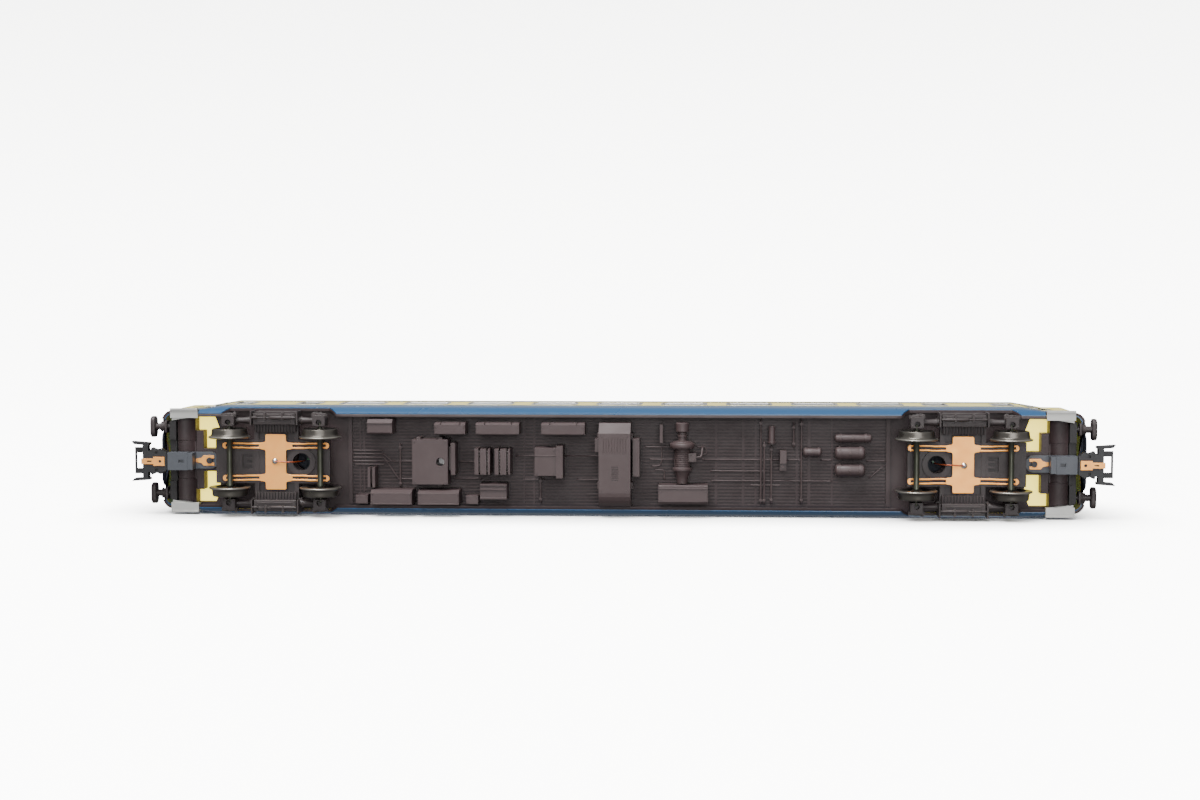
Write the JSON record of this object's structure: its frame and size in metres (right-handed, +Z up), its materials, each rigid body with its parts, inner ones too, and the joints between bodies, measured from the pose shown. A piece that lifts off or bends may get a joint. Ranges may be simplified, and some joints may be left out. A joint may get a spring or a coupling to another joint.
{
  "type": "model railway passenger coach",
  "caption": "Model passenger coach with swivelling bogies, turning wheelsets, sprung close couplers with lifting loops, and a detailed underfloor.",
  "frame": {"origin": "centre of the coach in plan, at the level of the bottom of the wheel flanges", "axes": "+X along the coach, +Y across it, +Z up towards the roof"},
  "size_m": [0.291, 0.0324, 0.0476],
  "materials": {
    "body_paint": "semi-gloss paint on moulded plastic, blue below a cream window band",
    "roof_paint": "matt grey moulded plastic",
    "clear_glazing": "clear moulded plastic",
    "pale_moulding": "pale yellow moulded plastic",
    "wall_moulding": "light brown moulded plastic",
    "seat_moulding": "red-brown moulded plastic",
    "circuit_board": "solder-masked board",
    "ballast_steel": "bare sheet steel",
    "frame_plastic": "satin dark grey-brown moulded plastic",
    "equipment_plastic": "satin dark grey-brown moulded plastic",
    "bogie_plastic": "satin dark grey-brown moulded plastic",
    "gangway_rubber": "matt navy moulded plastic",
    "step_plastic": "light grey moulded plastic",
    "screw_steel": "blackened steel",
    "contact_bronze": "rolled copper-coloured contact sheet",
    "enamelled_wire": "brown insulation",
    "axle_steel": "blackened steel",
    "wheel_metal": "blackened nickel, worn bright on tread and flange",
    "coupler_plastic": "black moulded plastic",
    "pocket_plastic": "dark blue-grey moulded plastic"
  },
  "bodies": {
    "coach": {"body_shell": "body_paint", "roof": "roof_paint", "glazing_left": "clear_glazing", "glazing_right": "clear_glazing", "interior_floor": "pale_moulding", "compartment_walls": "wall_moulding", "seats": "seat_moulding", "lighting_board": "circuit_board", "ballast_plate": "ballast_steel", "underframe": "frame_plastic", "end_framing": "frame_plastic", "headstocks": "frame_plastic", "buffers": "bogie_plastic", "gangway_a": "gangway_rubber", "gangway_b": "gangway_rubber", "door_steps": "step_plastic", "transformer_box": "equipment_plastic", "body_screw": "screw_steel", "battery_boxes": "equipment_plastic", "junction_boxes": "equipment_plastic", "louvre_boxes": "equipment_plastic", "equipment_lockers": "equipment_plastic", "resistor_packs": "equipment_plastic", "converter_box": "equipment_plastic", "ac_unit": "equipment_plastic", "compressor": "equipment_plastic", "water_tank": "equipment_plastic", "brake_gear": "equipment_plastic", "air_tanks": "equipment_plastic", "pipework": "equipment_plastic"},
    "bogie_a": {"bogie_frame_a": "bogie_plastic", "pivot_pin_a": "bogie_plastic", "side_frames_a": "bogie_plastic", "pickup_plate_a": "contact_bronze", "pickup_wire_a": "enamelled_wire"},
    "wheelset_a1": {"axle_a1": "axle_steel", "wheels_a1": "wheel_metal"},
    "wheelset_a2": {"axle_a2": "axle_steel", "wheels_a2": "wheel_metal"},
    "coupler_slide_a": {"coupler_slider_a": "coupler_plastic"},
    "coupler_a": {"coupler_arm_a": "pocket_plastic", "coupler_clip_a": "contact_bronze", "coupler_head_a": "coupler_plastic", "coupler_contact_a": "contact_bronze"},
    "loop_a": {"coupler_loop_a": "coupler_plastic"},
    "bogie_b": {"bogie_frame_b": "bogie_plastic", "pivot_pin_b": "bogie_plastic", "side_frames_b": "bogie_plastic", "pickup_plate_b": "contact_bronze", "pickup_wire_b": "enamelled_wire"},
    "wheelset_b1": {"axle_b1": "axle_steel", "wheels_b1": "wheel_metal"},
    "wheelset_b2": {"axle_b2": "axle_steel", "wheels_b2": "wheel_metal"},
    "coupler_slide_b": {"coupler_slider_b": "coupler_plastic"},
    "coupler_b": {"coupler_arm_b": "pocket_plastic", "coupler_clip_b": "contact_bronze", "coupler_head_b": "coupler_plastic", "coupler_contact_b": "contact_bronze"},
    "loop_b": {"coupler_loop_b": "coupler_plastic"}
  },
  "joints": [
    {"name": "bogie_a_swivel", "type": "hinge", "parent": "coach", "child": "bogie_a", "pos_m": [-0.1016, 0, 0.0113], "axis": [0, 0, 1], "range_deg": [-15, 15]},
    {"name": "wheelset_a1_spin", "type": "hinge", "parent": "bogie_a", "child": "wheelset_a1", "pos_m": [-0.11525, 0, 0.00625], "axis": [0, 1, 0], "continuous": true},
    {"name": "wheelset_a2_spin", "type": "hinge", "parent": "bogie_a", "child": "wheelset_a2", "pos_m": [-0.08795, 0, 0.00625], "axis": [0, 1, 0], "continuous": true},
    {"name": "coupler_a_slide", "type": "slide", "parent": "coach", "child": "coupler_slide_a", "axis": [-1, 0, 0], "range_m": [0, 0.002], "stiffness_N_per_m": 40},
    {"name": "coupler_a_swing", "type": "hinge", "parent": "coupler_slide_a", "child": "coupler_a", "pos_m": [-0.1226, 0, 0.012], "axis": [0, 0, 1], "range_deg": [-10, 10], "stiffness_Nm_per_rad": 0.002},
    {"name": "loop_a_lift", "type": "hinge", "parent": "coupler_a", "child": "loop_a", "pos_m": [-0.1381, 0, 0.01085], "axis": [0, 1, 0], "range_deg": [0, 45]},
    {"name": "bogie_b_swivel", "type": "hinge", "parent": "coach", "child": "bogie_b", "pos_m": [0.1016, 0, 0.0113], "axis": [0, 0, 1], "range_deg": [-15, 15]},
    {"name": "wheelset_b1_spin", "type": "hinge", "parent": "bogie_b", "child": "wheelset_b1", "pos_m": [0.08795, 0, 0.00625], "axis": [0, 1, 0], "continuous": true},
    {"name": "wheelset_b2_spin", "type": "hinge", "parent": "bogie_b", "child": "wheelset_b2", "pos_m": [0.11525, 0, 0.00625], "axis": [0, 1, 0], "continuous": true},
    {"name": "coupler_b_slide", "type": "slide", "parent": "coach", "child": "coupler_slide_b", "axis": [1, 0, 0], "range_m": [0, 0.002], "stiffness_N_per_m": 40},
    {"name": "coupler_b_swing", "type": "hinge", "parent": "coupler_slide_b", "child": "coupler_b", "pos_m": [0.1226, 0, 0.012], "axis": [0, 0, 1], "range_deg": [-10, 10], "stiffness_Nm_per_rad": 0.002},
    {"name": "loop_b_lift", "type": "hinge", "parent": "coupler_b", "child": "loop_b", "pos_m": [0.1381, 0, 0.01085], "axis": [0, -1, 0], "range_deg": [0, 45]}
  ]
}
